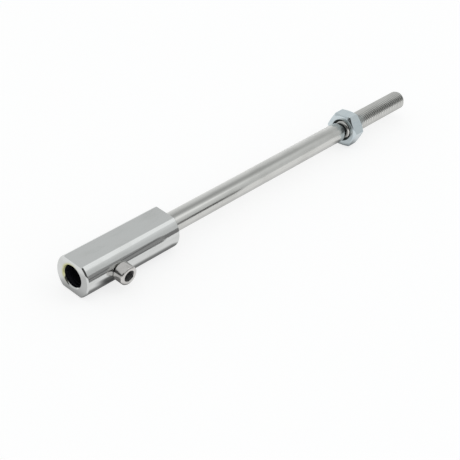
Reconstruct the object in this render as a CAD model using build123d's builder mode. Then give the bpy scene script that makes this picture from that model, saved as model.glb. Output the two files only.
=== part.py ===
from build123d import *

import os
from math import cos, radians, tan

# Clamp stud of a rigging turnbuckle, long pattern. A round bar body with two spanner flats
# takes a rope or rod in its bore and holds it with a cross screw. A long rod is pressed into
# the other end of the body and ends in a metric thread, which carries a lock nut.
#
# Frame: millimetres. X runs along the axis of the bore, the body and the rod, from the bore
# mouth (x = 0) to the end of the thread. Z is square to the spanner flats. The clamp screw
# enters from the -Y side. The origin is the centre of the bore mouth.

# Body: 20 mm round bar with two flats for a 17 mm spanner, made 0.2 mm under its size
body_diameter = 20.0
body_length = 56.0
body_flats = 16.8
body_end_chamfer = 0.6
flat_edge_radius = 0.4

# Bore for the rope or rod, drilled with a 118 degree point
bore_diameter = 10.5
bore_depth = 36.0
bore_countersink = 0.5
drill_point_slope = 0.6

# Press joint between the rod's spigot and the far end of the body
spigot_diameter = 8.0
spigot_length = 12.0
spigot_chamfer = 0.6
spigot_hole_depth = 12.6

# Rod: 10 mm bar with an M10 thread cut on its last stretch
rod_diameter = 10.0
shank_length = 130.0
shank_end_chamfer = 1.1
groove_diameter = 8.0
groove_length = 2.0
rod_thread_length = 52.0
rod_thread_pitch = 1.5
rod_thread_crest_diameter = 9.84
rod_thread_root_diameter = 8.16
rod_end_chamfer = 1.1

# Lock nut: M10 hexagon for a 17 mm spanner, at the lower limits of its size, standing a little
# off the shank's shoulder
hexagon_sides = 6
nut_across_flats = 16.6
nut_height = 7.6
nut_bore_diameter = 10.06
nut_face_diameter = 15.6
nut_countersink = 0.9
nut_stand_off = 2.4
nut_turn = -8.0

# Clamp screw: M6 x 8 socket head cap screw with its head a little under the standard size,
# seated on the round side of the body
screw_position = 18.9
screw_length = 8.0
screw_neck_length = 0.8
screw_thread_pitch = 1.0
screw_thread_crest_diameter = 5.9
screw_thread_root_diameter = 4.77
screw_hole_diameter = 6.1
screw_tip_chamfer = 0.6
head_diameter = 9.2
head_height = 5.3
head_rim_chamfer = 0.7
head_seat_chamfer = 0.25
head_seat_gap = 0.1
socket_across_flats = 5.0
socket_depth = 3.0
socket_turn = 30.0

# Thread ridge: metric 60 degree flanks and a crest flat of one eighth of the pitch. The ridge is
# sunk a little into its core so that the two fuse, and runs past both ends before they are cut
flank_angle = 30.0
crest_flat_share = 1 / 8
ridge_sink = 0.1
trim_clearance = 0.1

# Nut corners are turned at 30 degrees from the faces
nut_chamfer_angle = 30.0
nut_trim_margin = 1.0

# Places along the axis that follow from the dimensions above
shank_end = body_length + shank_length
thread_start = shank_end + groove_length
rod_end = thread_start + rod_thread_length
nut_start = shank_end + nut_stand_off
seat_y = -(body_diameter / 2 + head_seat_gap)


def right_hand_thread(plane, crest_diameter, root_diameter, pitch, length):
    """A round core with one right-hand ridge wound round it. The ridge runs half a pitch past each
    end of the length and the core runs one and a half, so both still have to be cut to length."""
    crest_half = pitch * crest_flat_share / 2
    rise = (crest_diameter - root_diameter) / 2
    foot_half = crest_half + (rise + ridge_sink) * tan(radians(flank_angle))
    run = length + pitch
    path = Helix(pitch, run, root_diameter / 2)
    with BuildPart() as bar:
        with BuildSketch(Plane.XY.offset(-pitch)):
            Circle(root_diameter / 2)
        extrude(amount=run + 2 * pitch)
        with BuildSketch(Plane(origin=path @ 0, x_dir=(1, 0, 0), z_dir=path % 0)):
            with BuildLine():
                Polyline(
                    (-ridge_sink, -foot_half),
                    (rise, -crest_half),
                    (rise, crest_half),
                    (-ridge_sink, foot_half),
                    close=True,
                )
            make_face()
        sweep(path=path, is_frenet=True)
    return plane.offset(-pitch / 2).location * bar.part


# Body: bar with two flats, blind bore from one end, spigot hole from the other, cross hole
with BuildPart() as clamp_body:
    with BuildSketch(Plane.YZ):
        Circle(body_diameter / 2)
        Rectangle(body_diameter, body_flats, mode=Mode.INTERSECT)
    extrude(amount=body_length)
    end_faces = clamp_body.faces().filter_by(Axis.X)
    chamfer(end_faces.edges(), body_end_chamfer)
    long_edges = clamp_body.edges().filter_by(Axis.X)
    fillet(long_edges, flat_edge_radius)
    with BuildSketch(Plane.XZ):
        with BuildLine():
            bore_radius = bore_diameter / 2
            Polyline(
                (0, 0),
                (0, bore_radius + bore_countersink),
                (bore_countersink, bore_radius),
                (bore_depth, bore_radius),
                (bore_depth + bore_radius * drill_point_slope, 0),
                close=True,
            )
        make_face()
    revolve(axis=Axis.X, mode=Mode.SUBTRACT)
    with BuildSketch(Plane.XZ):
        with BuildLine():
            hole_radius = spigot_diameter / 2
            hole_floor = body_length - spigot_hole_depth
            Polyline(
                (body_length, 0),
                (body_length, hole_radius),
                (hole_floor, hole_radius),
                (hole_floor - hole_radius * drill_point_slope, 0),
                close=True,
            )
        make_face()
    revolve(axis=Axis.X, mode=Mode.SUBTRACT)
    with BuildSketch(Plane.XZ):
        with Locations((screw_position, 0)):
            Circle(screw_hole_diameter / 2)
    extrude(amount=body_diameter, mode=Mode.SUBTRACT)
clamp_body.part.label = "clamp_body"

# Rod: spigot, shank and relief groove turned from bar, then the thread
rod_thread = right_hand_thread(
    Plane.YZ.offset(thread_start),
    rod_thread_crest_diameter,
    rod_thread_root_diameter,
    rod_thread_pitch,
    rod_thread_length,
)
with BuildPart() as thread_envelope:
    with BuildSketch(Plane.XZ):
        with BuildLine():
            groove_radius = groove_diameter / 2
            trim_radius = rod_thread_crest_diameter / 2 + trim_clearance
            end_radius = rod_thread_crest_diameter / 2 - rod_end_chamfer
            Polyline(
                (thread_start, 0),
                (thread_start, groove_radius),
                (thread_start + trim_radius - groove_radius, trim_radius),
                (rod_end - (trim_radius - end_radius), trim_radius),
                (rod_end, end_radius),
                (rod_end, 0),
                close=True,
            )
        make_face()
    revolve(axis=Axis.X)

with BuildPart() as threaded_rod:
    add(rod_thread)
    add(thread_envelope.part, mode=Mode.INTERSECT)
    with BuildSketch(Plane.XZ):
        with BuildLine():
            spigot_start = body_length - spigot_length
            Polyline(
                (spigot_start, 0),
                (spigot_start, spigot_diameter / 2 - spigot_chamfer),
                (spigot_start + spigot_chamfer, spigot_diameter / 2),
                (body_length, spigot_diameter / 2),
                (body_length, rod_diameter / 2),
                (shank_end - shank_end_chamfer, rod_diameter / 2),
                (shank_end, rod_diameter / 2 - shank_end_chamfer),
                (shank_end, groove_diameter / 2),
                (thread_start, groove_diameter / 2),
                (thread_start, 0),
                close=True,
            )
        make_face()
    revolve(axis=Axis.X)
threaded_rod.part.label = "threaded_rod"

# Lock nut: hexagon with both faces chamfered at 30 degrees and a countersunk plain bore, which
# runs just clear of the rod's thread crests
with BuildPart() as lock_nut:
    with BuildSketch(Plane.YZ.offset(nut_start)):
        RegularPolygon(
            nut_across_flats / 2, hexagon_sides, major_radius=False, rotation=nut_turn
        )
    extrude(amount=nut_height)
    with BuildSketch(Plane.XZ):
        with BuildLine():
            face_radius = nut_face_diameter / 2
            corner_radius = nut_across_flats / 2 / cos(radians(180 / hexagon_sides)) + nut_trim_margin
            slope_length = (corner_radius - face_radius) * tan(radians(nut_chamfer_angle))
            Polyline(
                (nut_start, 0),
                (nut_start, face_radius),
                (nut_start + slope_length, corner_radius),
                (nut_start + nut_height - slope_length, corner_radius),
                (nut_start + nut_height, face_radius),
                (nut_start + nut_height, 0),
                close=True,
            )
        make_face()
    revolve(axis=Axis.X, mode=Mode.INTERSECT)
    with BuildSketch(Plane.XZ):
        with BuildLine():
            hole_edge = nut_bore_diameter / 2
            Polyline(
                (nut_start, 0),
                (nut_start, hole_edge + nut_countersink),
                (nut_start + nut_countersink, hole_edge),
                (nut_start + nut_height - nut_countersink, hole_edge),
                (nut_start + nut_height, hole_edge + nut_countersink),
                (nut_start + nut_height, 0),
                close=True,
            )
        make_face()
    revolve(axis=Axis.X, mode=Mode.SUBTRACT)
lock_nut.part.label = "lock_nut"

# Clamp screw: head outside the body, thread through the wall and into the bore
screw_axis = Axis((screw_position, 0, 0), (0, 1, 0))
screw_thread_plane = Plane(
    origin=(screw_position, seat_y + screw_neck_length, 0), x_dir=(1, 0, 0), z_dir=(0, 1, 0)
)
screw_tip_y = seat_y + screw_length
head_top_y = seat_y - head_height
screw_thread = right_hand_thread(
    screw_thread_plane,
    screw_thread_crest_diameter,
    screw_thread_root_diameter,
    screw_thread_pitch,
    screw_length - screw_neck_length,
)
with BuildPart() as screw_envelope:
    with BuildSketch(Plane.XY):
        with BuildLine():
            neck_end = seat_y + screw_neck_length
            neck_radius = screw_thread_root_diameter / 2
            trim_reach = screw_thread_crest_diameter / 2 + trim_clearance
            tip_radius = screw_thread_crest_diameter / 2 - screw_tip_chamfer
            Polyline(
                (screw_position, neck_end),
                (screw_position + neck_radius, neck_end),
                (screw_position + trim_reach, neck_end + trim_reach - neck_radius),
                (screw_position + trim_reach, screw_tip_y - (trim_reach - tip_radius)),
                (screw_position + tip_radius, screw_tip_y),
                (screw_position, screw_tip_y),
                close=True,
            )
        make_face()
    revolve(axis=screw_axis)

with BuildPart() as clamp_screw:
    add(screw_thread)
    add(screw_envelope.part, mode=Mode.INTERSECT)
    with BuildSketch(Plane.XY):
        with BuildLine():
            head_edge = screw_position + head_diameter / 2
            Polyline(
                (screw_position, neck_end),
                (screw_position + neck_radius, neck_end),
                (screw_position + neck_radius, seat_y),
                (head_edge - head_seat_chamfer, seat_y),
                (head_edge, seat_y - head_seat_chamfer),
                (head_edge, head_top_y + head_rim_chamfer),
                (head_edge - head_rim_chamfer, head_top_y),
                (screw_position, head_top_y),
                close=True,
            )
        make_face()
    revolve(axis=screw_axis)
    socket_plane = Plane(
        origin=(screw_position, head_top_y, 0), x_dir=(1, 0, 0), z_dir=(0, -1, 0)
    )
    with BuildSketch(socket_plane):
        RegularPolygon(
            socket_across_flats / 2, hexagon_sides, major_radius=False, rotation=socket_turn
        )
    extrude(amount=-socket_depth, mode=Mode.SUBTRACT)
clamp_screw.part.label = "clamp_screw"

os.makedirs("parts", exist_ok=True)
export_step(clamp_body.part, "parts/clamp_body.step")
export_step(threaded_rod.part, "parts/threaded_rod.step")
export_step(lock_nut.part, "parts/lock_nut.step")
export_step(clamp_screw.part, "parts/clamp_screw.step")
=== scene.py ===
import logging
import math
from contextlib import contextmanager
from dataclasses import dataclass
from enum import Enum
from typing import Callable, Iterator, Sequence, Union

import bpy
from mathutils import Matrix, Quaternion, Vector


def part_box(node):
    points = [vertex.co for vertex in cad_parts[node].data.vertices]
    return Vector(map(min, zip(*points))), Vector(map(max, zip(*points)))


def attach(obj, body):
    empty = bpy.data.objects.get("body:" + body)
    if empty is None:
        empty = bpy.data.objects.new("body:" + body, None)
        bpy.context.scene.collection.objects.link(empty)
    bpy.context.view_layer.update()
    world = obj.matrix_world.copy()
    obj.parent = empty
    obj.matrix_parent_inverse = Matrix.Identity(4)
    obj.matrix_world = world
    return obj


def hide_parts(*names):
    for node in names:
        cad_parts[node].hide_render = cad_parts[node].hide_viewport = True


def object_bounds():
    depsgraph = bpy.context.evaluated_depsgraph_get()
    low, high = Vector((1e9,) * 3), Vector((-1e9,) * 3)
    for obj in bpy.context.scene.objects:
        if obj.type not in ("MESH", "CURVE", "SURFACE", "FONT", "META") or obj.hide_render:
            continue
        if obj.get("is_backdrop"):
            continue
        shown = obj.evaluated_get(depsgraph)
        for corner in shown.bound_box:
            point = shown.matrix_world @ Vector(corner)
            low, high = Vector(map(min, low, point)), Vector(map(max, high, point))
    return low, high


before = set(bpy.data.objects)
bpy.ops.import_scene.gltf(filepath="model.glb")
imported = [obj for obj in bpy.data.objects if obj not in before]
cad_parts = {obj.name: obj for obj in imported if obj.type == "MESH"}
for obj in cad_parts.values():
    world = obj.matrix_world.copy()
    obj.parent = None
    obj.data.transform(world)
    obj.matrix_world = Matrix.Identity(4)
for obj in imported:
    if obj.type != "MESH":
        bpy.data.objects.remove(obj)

LOG = logging.getLogger("clamp_stud")
MM = 0.001
SAME_PLACE = 1e-7
WHITE = (1, 1, 1, 1)
Colour = tuple[float, float, float]
Station = tuple[float, float]
AXIS_X = Vector((1, 0, 0))
AXIS_Y = Vector((0, 1, 0))
AXIS_Z = Vector((0, 0, 1))


# ---- shader tools


class Signal:
    """A shader socket that takes part in sums, so that shader maths reads as an expression."""

    def __init__(self, graph: "Graph", socket: bpy.types.NodeSocket) -> None:
        """Keeps the socket with the graph that owns it."""
        self.graph = graph
        self.socket = socket

    def _math(self, operation: str, first: "Value", second: "Value" = 0.0) -> "Signal":
        """Adds one Math node and returns its result."""
        settings = {"operation": operation}
        return self.graph.result("ShaderNodeMath", settings, {0: first, 1: second})

    def __add__(self, other: "Value") -> "Signal":
        """Self plus other."""
        return self._math("ADD", self, other)

    def __radd__(self, other: "Value") -> "Signal":
        """Other plus self."""
        return self._math("ADD", other, self)

    def __sub__(self, other: "Value") -> "Signal":
        """Self less other."""
        return self._math("SUBTRACT", self, other)

    def __rsub__(self, other: "Value") -> "Signal":
        """Other less self."""
        return self._math("SUBTRACT", other, self)

    def __mul__(self, other: "Value") -> "Signal":
        """Self times other."""
        return self._math("MULTIPLY", self, other)

    def __rmul__(self, other: "Value") -> "Signal":
        """Other times self."""
        return self._math("MULTIPLY", other, self)

    def __pow__(self, other: "Value") -> "Signal":
        """Self to the power other."""
        return self._math("POWER", self, other)

    def step(self, low: float, high: float) -> "Signal":
        """Rises smoothly from 0 at low to 1 at high; with low above high it falls instead."""
        limits = {"Value": self, "From Min": low, "From Max": high}
        if low > high:
            limits = {"Value": self, "From Min": high, "From Max": low, "To Min": 1.0, "To Max": 0.0}
        settings = {"interpolation_type": "SMOOTHSTEP"}
        return self.graph.result("ShaderNodeMapRange", settings, limits, "Result")


Value = Union[Signal, float, Sequence[float]]


class Graph:
    """The node tree of one material or world, with a single way of adding a node."""

    def __init__(self, tree: bpy.types.NodeTree) -> None:
        """Starts from an empty tree."""
        tree.nodes.clear()
        self.tree = tree

    def add(
        self, kind: str, settings: dict | None = None, inputs: dict | None = None
    ) -> bpy.types.Node:
        """Adds a node.

        Args:
            kind: the node's type name.
            settings: attributes of the node, set before its sockets.
            inputs: values or signals by socket name or number.

        Returns:
            The new node.
        """
        node = self.tree.nodes.new(kind)
        for name, setting in (settings or {}).items():
            setattr(node, name, setting)
        for key, value in (inputs or {}).items():
            if isinstance(value, Signal):
                self.tree.links.new(value.socket, node.inputs[key])
            else:
                node.inputs[key].default_value = value
        return node

    def result(
        self, kind: str, settings: dict | None = None, inputs: dict | None = None, output: int | str = 0
    ) -> Signal:
        """Adds a node, as add does, and returns one of its outputs."""
        return Signal(self, self.add(kind, settings, inputs).outputs[output])

    def place(self) -> Signal:
        """The surface point in the piece's own coordinates, in metres."""
        return self.result("ShaderNodeTexCoord", output="Object")

    def direction(self) -> Signal:
        """The direction in which a ray leaves the scene, for a world."""
        return self.result("ShaderNodeTexCoord", output="Generated")

    def split(self, vector: Signal) -> tuple[Signal, Signal, Signal]:
        """The three components of a vector."""
        node = self.add("ShaderNodeSeparateXYZ", None, {0: vector})
        return tuple(Signal(self, socket) for socket in node.outputs)

    def joined(self, x: Value, y: Value, z: Value) -> Signal:
        """A vector from three components."""
        return self.result("ShaderNodeCombineXYZ", None, {0: x, 1: y, 2: z})

    def stretched(
        self, vector: Signal, scale: Sequence[float], turn: Sequence[float] = (0, 0, 0)
    ) -> Signal:
        """The vector turned, then scaled along each axis."""
        inputs = {"Vector": vector, "Scale": scale, "Rotation": turn}
        return self.result("ShaderNodeMapping", None, inputs)

    def noise(self, vector: Signal, detail: float = 2.0, roughness: float = 0.5) -> Signal:
        """Smooth noise between 0 and 1 with one cell for each unit of the vector."""
        inputs = {"Vector": vector, "Scale": 1.0, "Detail": detail, "Roughness": roughness}
        return self.result("ShaderNodeTexNoise", None, inputs)

    def mixed(self, share: Value, first: Value, second: Value) -> Signal:
        """A colour between first and second."""
        ends = {0: share, 6: self._rgba(first), 7: self._rgba(second)}
        return self.result("ShaderNodeMix", {"data_type": "RGBA"}, ends, 2)

    def dot(self, vector: Signal, other: Sequence[float]) -> Signal:
        """The dot product of a vector with a fixed one."""
        settings = {"operation": "DOT_PRODUCT"}
        return self.result("ShaderNodeVectorMath", settings, {0: vector, 1: other}, "Value")

    def bumped(self, height: Signal) -> Signal:
        """A normal that follows a height in metres."""
        inputs = {"Strength": 1.0, "Distance": 1.0, "Height": height}
        return self.result("ShaderNodeBump", None, inputs)

    def end_with(self, kind: str, inputs: dict) -> None:
        """Ends a material with one shader of this type and these inputs."""
        self.add("ShaderNodeOutputMaterial", None, {0: self.result(kind, None, inputs)})

    @staticmethod
    def _rgba(colour: Value) -> Value:
        """A plain colour with an alpha added; a signal is passed on."""
        return colour if isinstance(colour, Signal) else (*colour, 1.0)


def new_material(name: str) -> tuple[bpy.types.Material, Graph]:
    """An empty node material and its graph."""
    material = bpy.data.materials.new(name)
    material.use_nodes = True
    return material, Graph(material.node_tree)


# ---- finishes and painted hole shade


class Grain(Enum):
    """Which way the fine tool lines of a finish run."""

    DRAWN = "lines along the bar"
    HEAD = "rings round the clamp screw"
    SATIN = "no direction"


@dataclass(frozen=True)
class Stain:
    """A patch of other colour that a finish carries at one place.

    Attributes:
        colour: the patch's colour.
        amount: its greatest share of the surface colour.
        mask: makes the patch's mask, 0 to 1, from the graph and the surface point.
    """

    colour: Colour
    amount: float
    mask: Callable[[Graph, Signal], Signal]


@dataclass(frozen=True)
class Plating:
    """A plated metal finish with tool lines, dull patches, hairline scratches and stains.

    Attributes:
        name: the material's name.
        bright: colour of the clean plating.
        dull: colour of its duller patches.
        roughness: roughness of the clean plating.
        dullness: roughness added in dull patches.
        grain: direction of the tool lines.
        line_width: width of one tool line, in metres.
        line_depth: depth of the tool lines, in metres.
        ripple_depth: depth of the slow waviness under them, in metres.
        scratches: how far the hairline scratches raise the roughness.
        screw_x: place of the clamp screw's axis, used by the HEAD grain, in metres.
        stains: local patches.
    """

    name: str
    bright: Colour
    dull: Colour
    roughness: float
    dullness: float
    grain: Grain
    line_width: float
    line_depth: float
    ripple_depth: float
    scratches: float = 0.08
    screw_x: float = 0.0
    stains: tuple[Stain, ...] = ()

    def _lines(self, graph: Graph, place: Signal) -> Signal:
        """Coordinates in which the tool lines run along the first axis."""
        x, y, z = graph.split(place)
        along = 0.015
        if self.grain is Grain.DRAWN:
            return graph.joined(x * along, y, z)
        if self.grain is Grain.HEAD:
            side = x - self.screw_x
            return graph.joined(z * along, y, (side * side + z * z) ** 0.5)
        return place

    def build(self) -> bpy.types.Material:
        """Makes the material.

        Returns:
            A metal whose colour, roughness and normal vary over the surface.
        """
        material, graph = new_material(self.name)
        place = graph.place()
        lines = self._lines(graph, place)
        fine = 1 / self.line_width
        tool_lines = graph.noise(graph.stretched(lines, (fine, fine, fine)), 3.0, 0.6)
        broad = 0.12 * fine
        ripple = graph.noise(graph.stretched(lines, (broad, broad, broad)), 1.0)
        patches = graph.noise(graph.stretched(place, (70, 160, 160)), 4.0, 0.6).step(0.42, 0.68)
        hairs = graph.noise(graph.stretched(place, (90, 5200, 5200), (0.3, 0.35, 0.25)), 1.0)
        cross_hairs = graph.noise(graph.stretched(place, (4600, 110, 4600), (0.2, 0.1, -0.5)), 1.0)
        scratch = hairs.step(0.70, 0.76) + cross_hairs.step(0.72, 0.78)
        specks = graph.noise(graph.stretched(place, (1500, 1500, 1500)), 2.0).step(0.66, 0.74)
        colour = graph.mixed(patches * 0.7 + tool_lines * 0.3, self.bright, self.dull)
        for stain in self.stains:
            share = stain.mask(graph, place) * stain.amount
            colour = graph.mixed(share, colour, stain.colour)
        rough = self.roughness + patches * self.dullness + scratch * self.scratches
        rough = rough + (tool_lines - 0.5) * (0.35 * self.roughness) + specks * 0.05
        depth = tool_lines * self.line_depth + ripple * self.ripple_depth
        height = depth - scratch * (0.4 * self.line_depth)
        surface = {
            "Base Color": colour,
            "Metallic": 1.0,
            "Roughness": rough,
            "Normal": graph.bumped(height),
        }
        graph.end_with("ShaderNodeBsdfPrincipled", surface)
        return material


@dataclass(frozen=True)
class PaintedHoleShade:
    """Painted shade for the inside of a drilled hole: a dark colour in place of the hole's shade, with
    the drill's rings.

    Attributes:
        name: the material's name.
        dark: colour of the painted shade.
        rubbed: colour where the rings stand proud.
        ring_width: spacing of the drill's rings, in metres.
    """

    name: str
    dark: Colour = (0.012, 0.011, 0.018)
    rubbed: Colour = (0.05, 0.05, 0.06)
    ring_width: float = 0.35 * MM

    def build(self) -> bpy.types.Material:
        """Makes the material."""
        material, graph = new_material(self.name)
        place = graph.place()
        fine = 1 / self.ring_width
        rings = graph.noise(graph.stretched(place, (fine, 0.04 * fine, 0.04 * fine)), 2.0)
        hole_surface = graph.noise(graph.stretched(place, (300, 420, 420)), 3.0)
        height = rings * 4e-6 + hole_surface * 2e-6
        # The painted shade: a dark colour, a little lighter where the drill's rings stand proud.
        surface = {
            "Base Color": graph.mixed(rings.step(0.45, 0.75), self.dark, self.rubbed),
            "Metallic": 0.6,
            "Roughness": 0.34 + hole_surface * 0.3,
            "Normal": graph.bumped(height),
        }
        graph.end_with("ShaderNodeBsdfPrincipled", surface)
        return material


# ---- workshop


class Bench:
    """Shop tools. Each one starts with nothing selected and leaves one mesh object."""

    @staticmethod
    def take(piece: bpy.types.Object) -> None:
        """Selects this object alone and makes it active."""
        bpy.ops.object.select_all(action="DESELECT")
        piece.select_set(True)
        bpy.context.view_layer.objects.active = piece

    @staticmethod
    def primitive(name: str, add: Callable, **settings: object) -> bpy.types.Object:
        """Adds one primitive with nothing else selected, and names it."""
        bpy.ops.object.select_all(action="DESELECT")
        add(**settings)
        piece = bpy.context.active_object
        piece.name = name
        return piece

    @staticmethod
    @contextmanager
    def editing(piece: bpy.types.Object) -> Iterator[None]:
        """Holds a piece in edit mode, at first with all of it selected."""
        Bench.take(piece)
        bpy.ops.object.mode_set(mode="EDIT")
        bpy.ops.mesh.select_all(action="SELECT")
        yield
        bpy.ops.object.mode_set(mode="OBJECT")

    @staticmethod
    def settle(piece: bpy.types.Object) -> None:
        """Puts the object's place, turn and scale into its mesh."""
        Bench.take(piece)
        bpy.ops.object.transform_apply(location=True, rotation=True, scale=True)

    @staticmethod
    def turned(
        name: str, stations: Sequence[Station], centre: Vector, axis: Vector, steps: int
    ) -> bpy.types.Object:
        """Spins a profile round an axis, as on a lathe.

        Args:
            name: the object's name.
            stations: (distance along the axis, radius) of each point of the profile.
            centre: the point from which distances along the axis count.
            axis: unit direction of the axis.
            steps: faces round the piece.

        Returns:
            A closed mesh, if the profile starts and ends on the axis.
        """
        points = Bench._profile_points(stations, centre, axis)
        piece = Bench._chain(name, points)
        with Bench.editing(piece):
            bpy.ops.mesh.spin(steps=steps, angle=math.tau, center=centre, axis=axis)
            bpy.ops.mesh.select_all(action="SELECT")
            bpy.ops.mesh.remove_doubles(threshold=SAME_PLACE)
            bpy.ops.mesh.normals_make_consistent(inside=False)
        Bench.settle(piece)
        Bench.face_outward(piece)
        return piece

    @staticmethod
    def face_outward(piece: bpy.types.Object) -> None:
        """Turns a closed mesh's faces outward, by the sign of the volume that they enclose."""
        mesh = piece.data
        mesh.calc_loop_triangles()
        volume = 0.0
        for triangle in mesh.loop_triangles:
            first, second, third = (mesh.vertices[number].co for number in triangle.vertices)
            volume += first.dot(second.cross(third))
        if volume < 0:
            with Bench.editing(piece):
                bpy.ops.mesh.flip_normals()

    @staticmethod
    def _profile_points(stations: Sequence[Station], centre: Vector, axis: Vector) -> list[Vector]:
        """The profile's points in space, drawn on the +Z side of the axis."""
        return [centre + axis * along + AXIS_Z * radius for along, radius in stations]

    @staticmethod
    def _chain(name: str, points: Sequence[Vector]) -> bpy.types.Object:
        """A chain of edges through the points, pulled out of one vertex."""
        piece = Bench.primitive(name, bpy.ops.mesh.primitive_plane_add, size=MM, location=points[0])
        with Bench.editing(piece):
            bpy.ops.mesh.select_mode(type="VERT")
            bpy.ops.mesh.select_all(action="SELECT")
            bpy.ops.mesh.merge(type="CENTER")
            bpy.ops.mesh.select_all(action="SELECT")
            for start, end in zip(points, points[1:]):
                bpy.ops.mesh.extrude_vertices_move(TRANSFORM_OT_translate={"value": end - start})
        return piece

    @staticmethod
    def bar(
        name: str, sides: int, radius: float, start: Vector, end: Vector, turn: float
    ) -> bpy.types.Object:
        """A solid bar with flat ends.

        Args:
            name: the object's name.
            sides: number of its sides.
            radius: distance from the axis to a corner.
            start: centre of the first end.
            end: centre of the other end.
            turn: turn about the axis, in radians.

        Returns:
            The bar, with each end one face.
        """
        run = end - start
        piece = Bench.primitive(
            name,
            bpy.ops.mesh.primitive_cylinder_add,
            vertices=sides,
            radius=radius,
            depth=run.length,
            location=(start + end) / 2,
        )
        piece.rotation_mode = "QUATERNION"
        lay = AXIS_Z.rotation_difference(run.normalized())
        piece.rotation_quaternion = Quaternion(run.normalized(), turn) @ lay
        Bench.settle(piece)
        return piece

    @staticmethod
    def slice_off(piece: bpy.types.Object, point: Vector, outward: Vector) -> None:
        """Cuts away what lies beyond a plane and closes the cut.

        Args:
            piece: the mesh object.
            point: a point on the plane.
            outward: the side that goes.
        """
        with Bench.editing(piece):
            bpy.ops.mesh.bisect(
                plane_co=point,
                plane_no=outward,
                use_fill=True,
                clear_outer=True,
                threshold=SAME_PLACE,
            )

    @staticmethod
    def combine(piece: bpy.types.Object, tool: bpy.types.Object, operation: str) -> None:
        """Cuts, joins or keeps what is common with a tool, which is used up.

        Args:
            piece: the mesh that stays.
            tool: the mesh that is used up.
            operation: DIFFERENCE, UNION or INTERSECT.
        """
        change = piece.modifiers.new("cut", "BOOLEAN")
        change.object = tool
        change.operation = operation
        change.solver = "EXACT"
        Bench.take(piece)
        bpy.ops.object.modifier_apply(modifier=change.name)
        bpy.data.objects.remove(tool)

    @staticmethod
    def chamfer_where(
        piece: bpy.types.Object, width: float, chosen: Callable[[Vector, Vector], bool]
    ) -> None:
        """Chamfers the edges whose two ends answer a test.

        Args:
            piece: the mesh object.
            width: setback of the chamfer on each face.
            chosen: takes the two end points and says whether the edge is cut.
        """
        with Bench.editing(piece):
            bpy.ops.mesh.select_mode(type="EDGE")
            bpy.ops.mesh.select_all(action="DESELECT")
        points = piece.data.vertices
        for edge in piece.data.edges:
            first, second = edge.vertices
            edge.select = chosen(points[first].co, points[second].co)
        bpy.ops.object.mode_set(mode="EDIT")
        bpy.ops.mesh.bevel(offset=width, offset_type="OFFSET", segments=1, affect="EDGES")
        bpy.ops.object.mode_set(mode="OBJECT")

    @staticmethod
    def thread(
        name: str, start: Vector, axis: Vector, screw: "ThreadSize", run: float
    ) -> bpy.types.Object:
        """A closed bar of right-hand thread, cut square at both ends.

        Args:
            name: the object's name.
            start: centre of the first end.
            axis: X or Y unit direction of the axis.
            screw: the thread's sizes.
            run: length of the bar.

        Returns:
            The thread bar.
        """
        rise = screw.crest - screw.root
        lead_in = 2 * screw.pitch
        stations = [
            (share * screw.pitch - lead_in, screw.root + height * rise)
            for share, height in screw.section
        ]
        piece = Bench._chain(name, Bench._profile_points(stations, Vector((0, 0, 0)), axis))
        Bench.settle(piece)
        turns = math.ceil(run / screw.pitch) + 4
        wind = piece.modifiers.new("wind", "SCREW")
        wind.axis = "X" if axis.x else "Y"
        wind.angle = math.tau
        wind.screw_offset = screw.pitch
        wind.iterations = turns
        wind.steps = screw.steps
        wind.render_steps = screw.steps
        wind.use_merge_vertices = True
        wind.merge_threshold = SAME_PLACE
        Bench.take(piece)
        bpy.ops.object.modifier_apply(modifier=wind.name)
        with Bench.editing(piece):
            bpy.ops.mesh.remove_doubles(threshold=SAME_PLACE)
        piece.location = start
        Bench.settle(piece)
        Bench.slice_off(piece, start, -axis)
        Bench.slice_off(piece, start + axis * run, axis)
        with Bench.editing(piece):
            bpy.ops.mesh.normals_make_consistent(inside=False)
        Bench.face_outward(piece)
        return piece

    @staticmethod
    def ease_edges(piece: bpy.types.Object, width: float, rounds: int, sharper_than: float) -> None:
        """Rounds every edge sharper than an angle, then lets the large faces lead the shading.

        Args:
            piece: the mesh object.
            width: width of the rounding.
            rounds: faces across it.
            sharper_than: least angle between two faces, in degrees.
        """
        Bench.take(piece)
        bpy.ops.object.shade_smooth()
        ease = piece.modifiers.new("ease", "BEVEL")
        ease.width = width
        ease.segments = rounds
        ease.limit_method = "ANGLE"
        ease.angle_limit = math.radians(sharper_than)
        ease.use_clamp_overlap = True
        ease.harden_normals = False
        bpy.ops.object.modifier_apply(modifier=ease.name)
        Bench.lead_faces(piece)

    @staticmethod
    def lead_faces(piece: bpy.types.Object) -> None:
        """Lets the large faces lead the shading."""
        Bench.take(piece)
        lead = piece.modifiers.new("lead", "WEIGHTED_NORMAL")
        lead.mode = "FACE_AREA"
        lead.weight = 90
        lead.keep_sharp = True
        bpy.ops.object.modifier_apply(modifier=lead.name)

    @staticmethod
    def smooth_below(piece: bpy.types.Object, angle: float) -> None:
        """Shades the piece smooth but for edges sharper than an angle, in degrees."""
        Bench.take(piece)
        bpy.ops.object.shade_smooth_by_angle(angle=math.radians(angle))

    @staticmethod
    def coat(piece: bpy.types.Object, *finishes: Union[Plating, PaintedHoleShade]) -> None:
        """Gives a piece these finishes and painted shades as its materials, in order."""
        piece.data.materials.clear()
        for finish in finishes:
            piece.data.materials.append(finish.build())

    @staticmethod
    def paint_where(piece: bpy.types.Object, number: int, chosen: Callable[[Vector], bool]) -> None:
        """Gives a material number to the faces whose middle answers a test."""
        for face in piece.data.polygons:
            if chosen(face.center):
                face.material_index = number


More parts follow.
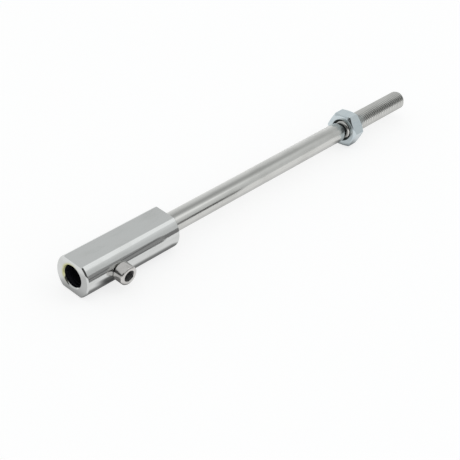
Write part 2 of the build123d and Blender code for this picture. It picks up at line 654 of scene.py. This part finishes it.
@dataclass(frozen=True)
class ThreadSize:
    """Sizes of a metric thread, in metres.

    Attributes:
        crest: radius over the crests.
        root: radius at the roots.
        pitch: travel in one turn.
        steps: faces round one turn.
        section: (share of the pitch, share of the height) of each point of one ridge.
    """

    crest: float
    root: float
    pitch: float
    steps: int
    section: tuple[Station, ...] = (
        (0.0, 0.0),
        (0.09, 0.0),
        (0.14, 0.06),
        (0.41, 0.92),
        (0.45, 1.0),
        (0.55, 1.0),
        (0.59, 0.92),
        (0.86, 0.06),
        (0.91, 0.0),
        (1.0, 0.0),
    )


# ---- the four pieces


class Piece:
    """One separate piece of the fitting: built, dressed, and hung on its CAD body."""

    node: str = ""
    body: str = ""
    slot: str = ""

    def build(self) -> bpy.types.Object:
        """Makes the piece's mesh."""
        raise NotImplementedError

    def dress(self, piece: bpy.types.Object) -> None:
        """Gives the piece its materials."""
        raise NotImplementedError

    def make(self) -> bpy.types.Object:
        """Builds and dresses the piece and puts it in the CAD node's place."""
        piece = self.build()
        self.dress(piece)
        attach(piece, self.body)
        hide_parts(self.node)
        faces = sum(len(face.vertices) - 2 for face in piece.data.polygons)
        LOG.info("%s rides on %s with %d triangles", piece.name, self.body, faces)
        return piece


@dataclass
class ClampBody(Piece):
    """The round body: two spanner flats, the rope bore and the hole for the clamp screw.

    Attributes:
        end_chamfer: chamfer round both ends.
        bore_radius: radius of the rope bore.
        bore_depth: depth of its full diameter.
        countersink: chamfer of the bore's mouth.
        point_slope: slope of the drill point.
        screw_hole_radius: radius of the cross hole.
        screw_x: place of the cross hole along the body.
        rod_hole_radius: radius of the hole for the rod's spigot.
        rod_hole_depth: depth of that hole.
        sides: faces round the bar.
        edge_round: rounding of its edges.
    """

    end_chamfer: float = 0.6 * MM
    bore_radius: float = 5.25 * MM
    bore_depth: float = 36.0 * MM
    countersink: float = 0.5 * MM
    point_slope: float = 0.6
    screw_hole_radius: float = 3.05 * MM
    screw_x: float = 18.9 * MM
    rod_hole_radius: float = 4.0 * MM
    rod_hole_depth: float = 12.6 * MM
    sides: int = 160
    edge_round: float = 0.14 * MM
    node = "clamp_body"
    body = "fitting"
    slot = "body_plating"

    def build(self) -> bpy.types.Object:
        """Cuts the body out of round bar."""
        low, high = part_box(self.node)
        radius = (high.y - low.y) / 2
        start, end = Vector((low.x, 0, 0)), Vector((high.x, 0, 0))
        piece = Bench.bar("plated_body", self.sides, radius, start, end, math.pi / self.sides)
        Bench.slice_off(piece, Vector((0, 0, high.z)), AXIS_Z)
        Bench.slice_off(piece, Vector((0, 0, low.z)), -AXIS_Z)
        for face_x in (low.x, high.x):
            Bench.chamfer_where(
                piece,
                self.end_chamfer,
                lambda a, b: max(abs(a.x - face_x), abs(b.x - face_x)) < 0.001 * MM,
            )
        Bench.combine(piece, self._bore_cutter(low.x), "DIFFERENCE")
        Bench.combine(piece, self._rod_hole_cutter(high.x), "DIFFERENCE")
        Bench.combine(piece, self._cross_cutter(low.y), "DIFFERENCE")
        Bench.ease_edges(piece, self.edge_round, 2, 24)
        return piece

    def _bore_cutter(self, mouth_x: float) -> bpy.types.Object:
        """The drill and countersink that make the rope bore."""
        point = self.bore_depth + self.bore_radius * self.point_slope
        wide = self.bore_radius + self.countersink
        stations = [
            (-MM, 0),
            (-MM, wide + MM),
            (self.countersink, self.bore_radius),
            (self.bore_depth, self.bore_radius),
            (point, 0),
        ]
        return Bench.turned("bore_drill", stations, Vector((mouth_x, 0, 0)), AXIS_X, 128)

    def _rod_hole_cutter(self, end_x: float) -> bpy.types.Object:
        """The drill that makes the hole for the rod's spigot."""
        point = self.rod_hole_depth + self.rod_hole_radius * self.point_slope
        stations = [
            (MM, 0),
            (MM, self.rod_hole_radius),
            (-self.rod_hole_depth, self.rod_hole_radius),
            (-point, 0),
        ]
        return Bench.turned("rod_drill", stations, Vector((end_x, 0, 0)), AXIS_X, 96)

    def _cross_cutter(self, side_y: float) -> bpy.types.Object:
        """The drill that makes the clamp screw's hole."""
        start = Vector((self.screw_x, side_y - MM, 0))
        end = Vector((self.screw_x, 0, 0))
        return Bench.bar("cross_drill", 96, self.screw_hole_radius, start, end, 0)

    def _mouth_stain(self) -> Stain:
        """The yellow-green tint that the plating bath leaves at the mouth of the bore."""
        edge = self.bore_radius + self.countersink

        def mask(graph: Graph, place: Signal) -> Signal:
            """Near the mouth, stronger on one side and broken up by noise."""
            x, y, z = graph.split(place)
            radius = (y * y + z * z) ** 0.5
            ring = radius.step(edge + 1.4 * MM, edge - 0.2 * MM) * x.step(2.6 * MM, 0.9 * MM)
            side = (y * 0.86 + z * 0.5).step(-1.5 * MM, 5.5 * MM)
            broken = graph.noise(graph.stretched(place, (420, 420, 420)), 3.0).step(0.2, 0.6)
            return ring * side * (broken * 0.5 + 0.5)

        return Stain((0.50, 0.49, 0.19), 0.95, mask)

    def dress(self, piece: bpy.types.Object) -> None:
        """Bright plating outside and painted shade in the bores."""
        plating = Plating(
            name="body_bright_plating",
            bright=(0.655, 0.665, 0.66),
            dull=(0.60, 0.61, 0.60),
            roughness=0.085,
            dullness=0.05,
            grain=Grain.DRAWN,
            line_width=0.16 * MM,
            line_depth=0.7e-6,
            ripple_depth=6e-6,
            stains=(self._mouth_stain(),),
        )
        Bench.coat(piece, plating, PaintedHoleShade("bore_painted_shade"))
        low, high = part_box(self.node)
        reach = self.bore_radius + 0.02 * MM
        inside = low.x + self.countersink + 0.02 * MM
        # Painted shade: the faces inside the bore and the rod hole take the dark second material.
        Bench.paint_where(
            piece, 1, lambda c: inside < c.x < high.x - 2 * MM and math.hypot(c.y, c.z) < reach
        )


@dataclass
class ThreadedRod(Piece):
    """The rod: spigot, plain shank, relief groove and an M10 thread.

    Attributes:
        spigot_radius: radius of the end pressed into the body.
        spigot_chamfer: chamfer of that end.
        shank_chamfer: chamfer at the shank's far end.
        groove_radius: radius of the relief groove.
        groove_width: width of the groove.
        end_chamfer: chamfer of the thread's end.
        thread: sizes of the thread.
        thread_run: length of the thread.
        sides: faces round the shank.
    """

    spigot_radius: float = 4.0 * MM
    spigot_chamfer: float = 0.6 * MM
    shank_chamfer: float = 1.1 * MM
    groove_radius: float = 4.0 * MM
    groove_width: float = 2.0 * MM
    end_chamfer: float = 1.1 * MM
    thread: ThreadSize = ThreadSize(4.92 * MM, 4.08 * MM, 1.5 * MM, 72)
    thread_run: float = 52.0 * MM
    sides: int = 144
    node = "threaded_rod"
    body = "fitting"
    slot = "rod_plating"

    def build(self) -> bpy.types.Object:
        """Turns the rod, then winds and trims its thread."""
        low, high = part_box(self.node)
        body_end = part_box("clamp_body")[1].x
        radius = (high.y - low.y) / 2
        thread_start = high.x - self.thread_run
        shank_end = thread_start - self.groove_width
        crest = self.thread.crest
        overlap = 0.4 * MM
        origin = Vector((0, 0, 0))
        ease = 0.12 * MM
        shank = Bench.turned(
            "plated_rod",
            [
                (low.x, 0),
                (low.x, self.spigot_radius - self.spigot_chamfer),
                (low.x + self.spigot_chamfer, self.spigot_radius),
                (body_end, self.spigot_radius),
                (body_end, radius),
                (shank_end - self.shank_chamfer - ease, radius),
                (shank_end - self.shank_chamfer + ease * 0.7, radius - ease * 0.5),
                (shank_end - ease, radius - self.shank_chamfer + ease),
                (shank_end, radius - self.shank_chamfer - ease * 0.4),
                (shank_end, self.groove_radius),
                (thread_start + overlap, self.groove_radius),
                (thread_start + overlap, 0),
            ],
            origin,
            AXIS_X,
            self.sides,
        )
        thread = Bench.thread(
            "rod_thread", Vector((thread_start, 0, 0)), AXIS_X, self.thread, self.thread_run
        )
        spare = 0.1 * MM
        end_radius = crest - self.end_chamfer
        envelope = Bench.turned(
            "thread_trim",
            [
                (thread_start - spare, 0),
                (thread_start - spare, self.groove_radius + 0.02 * MM - spare),
                (thread_start + crest + spare - self.groove_radius, crest + spare),
                (high.x - self.end_chamfer - spare, crest + spare),
                (high.x - 0.15 * MM, end_radius + 0.15 * MM),
                (high.x, end_radius - 0.12 * MM),
                (high.x, 0),
            ],
            origin,
            AXIS_X,
            96,
        )
        Bench.combine(thread, envelope, "INTERSECT")
        Bench.combine(shank, thread, "UNION")
        Bench.smooth_below(shank, 24)
        return shank

    def _root_darkening(self) -> Stain:
        """Darker colour deep in the thread's roots and in the relief groove."""
        crest, root = self.thread.crest, self.thread.root
        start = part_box(self.node)[1].x - self.thread_run - self.groove_width

        def mask(graph: Graph, place: Signal) -> Signal:
            """Deep in the thread, and uneven along it."""
            x, y, z = graph.split(place)
            radius = (y * y + z * z) ** 0.5
            deep = radius.step(root + 0.62 * (crest - root), root)
            uneven = graph.noise(graph.stretched(place, (260, 420, 420)), 3.0).step(0.15, 0.65)
            return deep * x.step(start, start + 0.3 * MM) * (uneven * 0.5 + 0.5)

        return Stain((0.24, 0.24, 0.23), 0.8, mask)

    def dress(self, piece: bpy.types.Object) -> None:
        """Drawn bar under bright plating, a little warmer than the body."""
        plating = Plating(
            name="rod_bright_plating",
            bright=(0.63, 0.63, 0.61),
            dull=(0.55, 0.55, 0.53),
            roughness=0.15,
            dullness=0.08,
            grain=Grain.DRAWN,
            line_width=0.15 * MM,
            line_depth=2.2e-6,
            ripple_depth=1.3e-5,
            scratches=0.1,
            stains=(self._root_darkening(),),
        )
        Bench.coat(piece, plating)


@dataclass
class LockNut(Piece):
    """The zinc plated hexagon nut.

    Attributes:
        across_flats: size over two opposite flats.
        turn: turn of its first corner from +Y towards +Z, in radians.
        face_radius: radius of the flat part of each face.
        bore_radius: radius of its bore.
        countersink: chamfer at both ends of the bore.
        corner_slope: rise of the corner chamfer for each unit outwards.
        edge_round: rounding of its edges.
    """

    across_flats: float = 16.6 * MM
    turn: float = math.radians(-8)
    face_radius: float = 7.8 * MM
    bore_radius: float = 5.03 * MM
    countersink: float = 0.9 * MM
    corner_slope: float = math.tan(math.radians(30))
    edge_round: float = 0.2 * MM
    node = "lock_nut"
    body = "nut"
    slot = "nut_zinc"

    def build(self) -> bpy.types.Object:
        """Cuts the nut out of hexagon bar, then turns its corners and bores it."""
        low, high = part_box(self.node)
        corner = self.across_flats / 2 / math.cos(math.pi / 6)
        spare = AXIS_X * MM
        start, end = Vector((low.x, 0, 0)) - spare, Vector((high.x, 0, 0)) + spare
        piece = Bench.bar("zinc_nut", 6, corner, start, end, self.turn)
        Bench.ease_edges(piece, self.edge_round, 3, 20)
        Bench.combine(piece, self._corner_turning(low.x, high.x, corner), "INTERSECT")
        Bench.combine(piece, self._bore_cutter(low.x, high.x), "DIFFERENCE")
        Bench.smooth_below(piece, 32)
        Bench.lead_faces(piece)
        return piece

    def _corner_turning(self, start: float, end: float, corner: float) -> bpy.types.Object:
        """The double cone that the nut's corners are turned to."""
        reach = corner + MM
        rise = (reach - self.face_radius) * self.corner_slope
        lip = 0.1 * MM
        fall = lip * self.corner_slope
        stations = [
            (start, 0),
            (start, self.face_radius - lip),
            (start + 0.3 * fall, self.face_radius),
            (start + fall, self.face_radius + lip),
            (start + rise, reach),
            (end - rise, reach),
            (end - fall, self.face_radius + lip),
            (end - 0.3 * fall, self.face_radius),
            (end, self.face_radius - lip),
            (end, 0),
        ]
        return Bench.turned("corner_turning", stations, Vector((0, 0, 0)), AXIS_X, 180)

    def _bore_cutter(self, start: float, end: float) -> bpy.types.Object:
        """The drill and countersinks that make the nut's bore."""
        wide = self.bore_radius + self.countersink
        lip = 0.06 * MM
        stations = [
            (start - 5 * lip, 0),
            (start - 5 * lip, wide + 20 * lip),
            (start + lip, wide - lip),
            (start + self.countersink, self.bore_radius),
            (end - self.countersink, self.bore_radius),
            (end - lip, wide - lip),
            (end + 5 * lip, wide + 20 * lip),
            (end + 5 * lip, 0),
        ]
        return Bench.turned("nut_drill", stations, Vector((0, 0, 0)), AXIS_X, 120)

    def dress(self, piece: bpy.types.Object) -> None:
        """Clear blue zinc, satin and slightly mottled, with painted shade in the bore."""
        plating = Plating(
            name="nut_blue_zinc",
            bright=(0.60, 0.66, 0.68),
            dull=(0.52, 0.60, 0.64),
            roughness=0.13,
            dullness=0.1,
            grain=Grain.SATIN,
            line_width=0.3 * MM,
            line_depth=4e-6,
            ripple_depth=1.1e-5,
            scratches=0.08,
        )
        # Painted shade for the bore and its countersinks: a dark teal colour in place of their shade.
        hole_surface = PaintedHoleShade("nut_bore_painted_shade", (0.03, 0.042, 0.048), (0.11, 0.13, 0.135), 0.3 * MM)
        Bench.coat(piece, plating, hole_surface)
        low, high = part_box(self.node)
        reach = self.bore_radius + self.countersink - 0.1 * MM
        # Painted shade goes on the faces of the bore and its countersinks.
        Bench.paint_where(
            piece,
            1,
            lambda c: low.x + 0.1 * MM < c.x < high.x - 0.1 * MM and math.hypot(c.y, c.z) < reach,
        )


@dataclass
class ClampScrew(Piece):
    """The socket head cap screw that clamps the rope.

    Attributes:
        head_radius: radius of the head.
        head_height: height of the head.
        rim_round: rounding of the head's outer rim.
        seat_chamfer: chamfer under the head.
        neck: length of the plain neck.
        thread: sizes of the thread.
        tip_chamfer: chamfer of the tip.
        socket_flats: size over two opposite sides of the socket.
        socket_depth: depth of the socket.
        socket_lead: chamfer of the socket's mouth.
    """

    head_radius: float = 4.6 * MM
    head_height: float = 5.3 * MM
    rim_round: float = 0.8 * MM
    seat_chamfer: float = 0.25 * MM
    neck: float = 0.8 * MM
    thread: ThreadSize = ThreadSize(2.95 * MM, 2.385 * MM, 1.0 * MM, 60)
    tip_chamfer: float = 0.6 * MM
    socket_flats: float = 5.0 * MM
    socket_depth: float = 3.0 * MM
    socket_lead: float = 0.18 * MM
    node = "clamp_screw"
    body = "screw"
    slot = "screw_nickel"

    def build(self) -> bpy.types.Object:
        """Turns the head, winds the thread and cuts the socket."""
        low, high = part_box(self.node)
        centre = Vector(((low.x + high.x) / 2, low.y, (low.z + high.z) / 2))
        length = high.y - low.y
        seat = self.head_height
        thread_start = seat + self.neck
        overlap = 0.3 * MM
        turns = [math.radians(15 * number) for number in range(7)]
        rim = [
            (
                self.rim_round * (1 - math.sin(turn)),
                self.head_radius - self.rim_round * (1 - math.cos(turn)),
            )
            for turn in reversed(turns)
        ]
        piece = Bench.turned(
            "nickel_screw",
            [
                (0, 0),
                *rim,
                (seat - self.seat_chamfer, self.head_radius),
                (seat, self.head_radius - self.seat_chamfer),
                (seat, self.thread.root),
                (thread_start + overlap, self.thread.root),
                (thread_start + overlap, 0),
            ],
            centre,
            AXIS_Y,
            128,
        )
        thread = Bench.thread(
            "screw_thread",
            centre + AXIS_Y * thread_start,
            AXIS_Y,
            self.thread,
            length - thread_start,
        )
        Bench.combine(thread, self._thread_trim(centre, thread_start, length), "INTERSECT")
        Bench.combine(piece, thread, "UNION")
        Bench.combine(piece, self._socket_cutter(centre), "DIFFERENCE")
        Bench.smooth_below(piece, 24)
        return piece

    def _thread_trim(self, centre: Vector, start: float, end: float) -> bpy.types.Object:
        """The turned envelope that chamfers both ends of the thread."""
        spare = 0.1 * MM
        reach = self.thread.crest + spare
        tip = self.thread.crest - self.tip_chamfer
        stations = [
            (start - spare, 0),
            (start - spare, self.thread.root + 0.02 * MM - spare),
            (start + reach - self.thread.root, reach),
            (end - (reach - tip), reach),
            (end, tip),
            (end, 0),
        ]
        return Bench.turned("screw_trim", stations, centre, AXIS_Y, 96)

    def _socket_cutter(self, centre: Vector) -> bpy.types.Object:
        """The hexagon punch, with a drilled point and a small lead at the mouth."""
        corner = self.socket_flats / 2 / math.cos(math.pi / 6)
        start, end = centre - AXIS_Y * MM, centre + AXIS_Y * self.socket_depth
        punch = Bench.bar("socket_punch", 6, corner, start, end, 0)
        lead = Bench.turned(
            "socket_lead",
            [
                (-MM, 0),
                (-MM, corner + MM),
                (self.socket_lead, corner - self.socket_lead),
                (self.socket_depth - 0.3 * MM, 0.88 * self.socket_flats / 2),
                (self.socket_depth + 0.5 * MM, 0),
            ],
            centre,
            AXIS_Y,
            96,
        )
        Bench.combine(punch, lead, "UNION")
        return punch

    def dress(self, piece: bpy.types.Object) -> None:
        """Bright nickel, warmer than the body, with painted shade in the socket."""
        low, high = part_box(self.node)
        plating = Plating(
            name="screw_bright_nickel",
            bright=(0.66, 0.645, 0.63),
            dull=(0.57, 0.555, 0.54),
            roughness=0.15,
            dullness=0.07,
            grain=Grain.HEAD,
            line_width=0.14 * MM,
            line_depth=2e-6,
            ripple_depth=8e-6,
            scratches=0.1,
            screw_x=(low.x + high.x) / 2,
        )
        # Painted shade for the socket: a grey colour in place of the shade inside it.
        hole_surface = PaintedHoleShade("socket_painted_shade", (0.16, 0.16, 0.16), (0.32, 0.32, 0.31), 0.2 * MM)
        Bench.coat(piece, plating, hole_surface)
        centre_x = (low.x + high.x) / 2
        corner = self.socket_flats / 2 / math.cos(math.pi / 6)
        floor_y = low.y + self.socket_lead + 0.05 * MM
        deep_y = low.y + self.socket_depth + 0.6 * MM
        # Painted shade goes on the faces inside the socket.
        Bench.paint_where(
            piece,
            1,
            lambda c: floor_y < c.y < deep_y and math.hypot(c.x - centre_x, c.z) < corner,
        )


# ---- studio


@dataclass(frozen=True)
class Lobe:
    """A soft brighter or darker region of the surroundings.

    Attributes:
        azimuth: direction from +X towards +Y, in degrees.
        elevation: height above the horizon, in degrees.
        reach: angle at which it has faded out, in degrees.
        strength: light it adds at its middle.
    """

    azimuth: float
    elevation: float
    reach: float
    strength: float

    def direction(self) -> Vector:
        """Unit vector towards its middle."""
        azimuth, elevation = math.radians(self.azimuth), math.radians(self.elevation)
        flat = math.cos(elevation)
        return Vector((flat * math.cos(azimuth), flat * math.sin(azimuth), math.sin(elevation)))


@dataclass(frozen=True)
class Card:
    """A flat studio card that shows in the metal and not to the camera.

    Attributes:
        name: the card's name.
        start: (x, y, bottom, top) of its first upright edge, in millimetres.
        end: the same for its last.
        light: light that it gives off.
    """

    name: str
    start: tuple[float, float, float, float]
    end: tuple[float, float, float, float]
    light: float

    def build(self) -> bpy.types.Object:
        """Stands the card up."""
        card = Bench.primitive(self.name, bpy.ops.mesh.primitive_plane_add, size=1)
        for point in card.data.vertices:
            x, y, bottom, top = self.start if point.co.x < 0 else self.end
            point.co = Vector((x, y, bottom if point.co.y < 0 else top)) * MM
        material, graph = new_material(self.name + "_paper")
        graph.end_with("ShaderNodeEmission", {"Color": WHITE, "Strength": self.light})
        set_on_stage(card, material, "camera", "diffuse", "shadow", "transmission")
        return card


def set_on_stage(card: bpy.types.Object, material: bpy.types.Material, *unseen_by: str) -> None:
    card.data.materials.append(material)
    for ray in unseen_by:
        setattr(card, "visible_" + ray, False)
    card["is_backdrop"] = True


@dataclass
class Studio:
    """Floor, surroundings, reflection cards and lights.

    Attributes:
        floor_reach: half the floor's side.
        ambient: light of the plain surroundings.
        lobes: softer and darker regions of the surroundings.
        cards: cards that show in the metal.
        under_light: light of the painted shadow's darkest part, under the body.
        floor_light: light that the open floor gives.
    """

    floor_reach: float = 4.0
    ambient: float = 0.72
    lobes: tuple[Lobe, ...] = (
        Lobe(-36, 46, 30, 0.17),
        Lobe(9, 50, 26, -0.24),
        Lobe(50, 6, 30, 0.18),
    )
    cards: tuple[Card, ...] = (
        Card("card_bench", (16, -40, -8.8, 12.8), (69, -40, -8.8, 12.8), 0.33),
        Card("card_bench_ridge", (18, -39, -0.9, 1.8), (66, -39, 7.8, 10.4), 0.14),
        Card("card_bench_foot", (16, -39, -7.0, -4.2), (69, -39, -7.0, -4.2), 0.15),
        Card("card_bench_end", (69, -40, -4.0, 9.5), (110, -55, -5.5, 13.3), 0.24),
        Card("card_far_bench", (110, -55, -5.5, 13.3), (163, -61, -6.4, 14.5), 0.17),
        Card("card_behind_camera", (-440, 130, 30, 300), (-200, -420, 0, 300), 0.08),
        Card("card_front_floor", (-6, -55, -8.8, -8.8), (9, -19, -8.8, -8.8), 0.08),
    )
    under_light: float = 0.05
    floor_light: float = 0.95

    def build(self) -> None:
        """Puts the studio up round the fitting."""
        low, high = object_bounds()
        self._floor(low.z)
        self._backdrop(low.z)
        self._surroundings()
        for card in self.cards:
            card.build()
        self._under_strip(low, high)
        self._key_light()

    def _floor(self, height: float) -> None:
        """A plain white floor that glows a little, so that shadows stay faint."""
        floor = Bench.primitive(
            "floor",
            bpy.ops.mesh.primitive_plane_add,
            size=2 * self.floor_reach,
            location=(0, 0, height),
        )
        material, graph = new_material("floor_paper")
        surface = {
            "Base Color": (0.34, 0.34, 0.34, 1),
            "Roughness": 1.0,
            "Specular IOR Level": 0.0,
            "Emission Color": WHITE,
            "Emission Strength": 0.74,
        }
        graph.end_with("ShaderNodeBsdfPrincipled", surface)
        set_on_stage(floor, material)

    def _backdrop(self, height: float) -> None:
        """A white dome that only the camera sees, beyond the floor."""
        dome = Bench.primitive(
            "backdrop",
            bpy.ops.mesh.primitive_uv_sphere_add,
            segments=48,
            ring_count=24,
            radius=1.2 * self.floor_reach,
            location=(0, 0, height),
        )
        material, graph = new_material("backdrop_paper")
        graph.end_with("ShaderNodeEmission", {"Color": WHITE, "Strength": 0.97})
        set_on_stage(dome, material, "diffuse", "glossy", "shadow", "transmission")

    def _surroundings(self) -> None:
        """The light of the room, even but for its lobes."""
        world = bpy.data.worlds.new("room")
        world.use_nodes = True
        bpy.context.scene.world = world
        graph = Graph(world.node_tree)
        toward = graph.direction()
        light: Value = self.ambient
        for lobe in self.lobes:
            nearness = graph.dot(toward, lobe.direction())
            mask = nearness.step(math.cos(math.radians(lobe.reach)), 1.0)
            light = mask * lobe.strength + light
        colour = graph.mixed(light, (0.0, 0.0, 0.0), (0.985, 1.0, 1.0))
        shade = graph.result("ShaderNodeBackground", None, {"Color": colour, "Strength": 1.0})
        graph.add("ShaderNodeOutputWorld", None, {0: shade})

    def _under_strip(self, low: Vector, high: Vector) -> None:
        """A painted shadow under the body, the screw's head and the nut: a dark sheet on the floor,
        seen in metal only.
        """
        body_low, body_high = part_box("clamp_body")
        head_low, head_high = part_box("clamp_screw")
        nut_low, nut_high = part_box("lock_nut")
        head_x = (head_low.x + head_high.x) / 2
        head_y = head_low.y + 2.5 * MM
        nut_x = (nut_low.x + nut_high.x) / 2
        margin = 12 * MM
        centre = Vector(((low.x + high.x) / 2, 0, low.z + 0.05 * MM))
        strip = Bench.primitive(
            "card_under_fitting", bpy.ops.mesh.primitive_plane_add, size=1, location=centre
        )
        strip.scale = (high.x - low.x + 2 * margin, 56 * MM, 1)
        Bench.settle(strip)
        material, graph = new_material("card_under_fitting_paper")
        x, y, _ = graph.split(graph.place())
        beside = (y * y) ** 0.5
        before = x.step(body_low.x + 6 * MM, body_low.x - 9 * MM)
        past = x.step(body_high.x, body_high.x + 8 * MM)
        from_body = (beside.step(8.5 * MM, 16.5 * MM) + before + past).step(0.0, 1.0)
        from_head = ((x - head_x) * (x - head_x) + (y - head_y) * (y - head_y)) ** 0.5
        nut_side = (x - nut_x) * 1.5
        from_nut = (nut_side * nut_side + y * y) ** 0.5
        # Painted shadow: darkest under the body, the screw's head and the nut, and a little along the
        # bar.
        under_body = from_body * 0.78 + 0.22
        under_head = from_head.step(3 * MM, 10 * MM) * 0.9 + 0.1
        under_nut = from_nut.step(4 * MM, 13 * MM) * 0.8 + 0.2
        under_bar = beside.step(3 * MM, 14 * MM) * 0.3 + 0.7
        open_sky = under_body * under_head * under_nut * under_bar
        light = self.under_light + (self.floor_light - self.under_light) * open_sky
        colour = graph.mixed(light, (0.0, 0.0, 0.0), (1.0, 1.0, 1.0))
        graph.end_with("ShaderNodeEmission", {"Color": colour, "Strength": 1.0})
        set_on_stage(strip, material, "camera", "diffuse", "shadow", "transmission")

    def _key_light(self) -> None:
        """A soft light from the upper right."""
        data = bpy.data.lights.new("key_softbox", "AREA")
        data.shape = "SQUARE"
        data.size = 0.5
        data.energy = 0.2
        light = bpy.data.objects.new("key_softbox", data)
        bpy.context.scene.collection.objects.link(light)
        aim = Lobe(-37, 48, 0, 0).direction()
        light.location = aim * 1.0
        light.rotation_mode = "QUATERNION"
        light.rotation_quaternion = (-aim).to_track_quat("-Z", "Y")


@dataclass
class CameraRig:
    """The main camera.

    Attributes:
        aim: point in the middle of the view.
        distance: from the camera to that point.
        azimuth: the way it looks, from +X towards +Y, in degrees.
        tilt: how far it looks down, in degrees.
        roll: how far its right side is raised, in degrees.
        lens: focal length in millimetres on a 36 mm sensor.
    """

    aim: tuple[float, float, float] = (0.0775, -0.02095, 0.0)
    distance: float = 0.55
    azimuth: float = 37.04
    tilt: float = 36.55
    roll: float = 8.27
    lens: float = 94.2

    def build(self) -> None:
        """Sets the camera up and makes it the scene's own."""
        data = bpy.data.cameras.new("main_camera")
        data.lens = self.lens
        data.sensor_width = 36
        data.clip_start = 0.01
        data.clip_end = 50
        camera = bpy.data.objects.new("main_camera", data)
        bpy.context.scene.collection.objects.link(camera)
        forward = Lobe(self.azimuth, -self.tilt, 0, 0).direction()
        camera.location = Vector(self.aim) - forward * self.distance
        camera.rotation_mode = "QUATERNION"
        turn = Quaternion((0, 0, 1), math.radians(self.roll))
        camera.rotation_quaternion = forward.to_track_quat("-Z", "Y") @ turn
        bpy.context.scene.camera = camera


def main() -> None:
    """Builds the fitting's pieces and the studio."""
    logging.basicConfig(level=logging.INFO, format="%(name)s: %(message)s")
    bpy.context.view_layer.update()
    CameraRig().build()
    for maker in (ClampBody(), ThreadedRod(), LockNut(), ClampScrew()):
        maker.make()
    Studio().build()
    bpy.context.scene.view_settings.view_transform = "Standard"


if __name__ == "__main__":
    main()
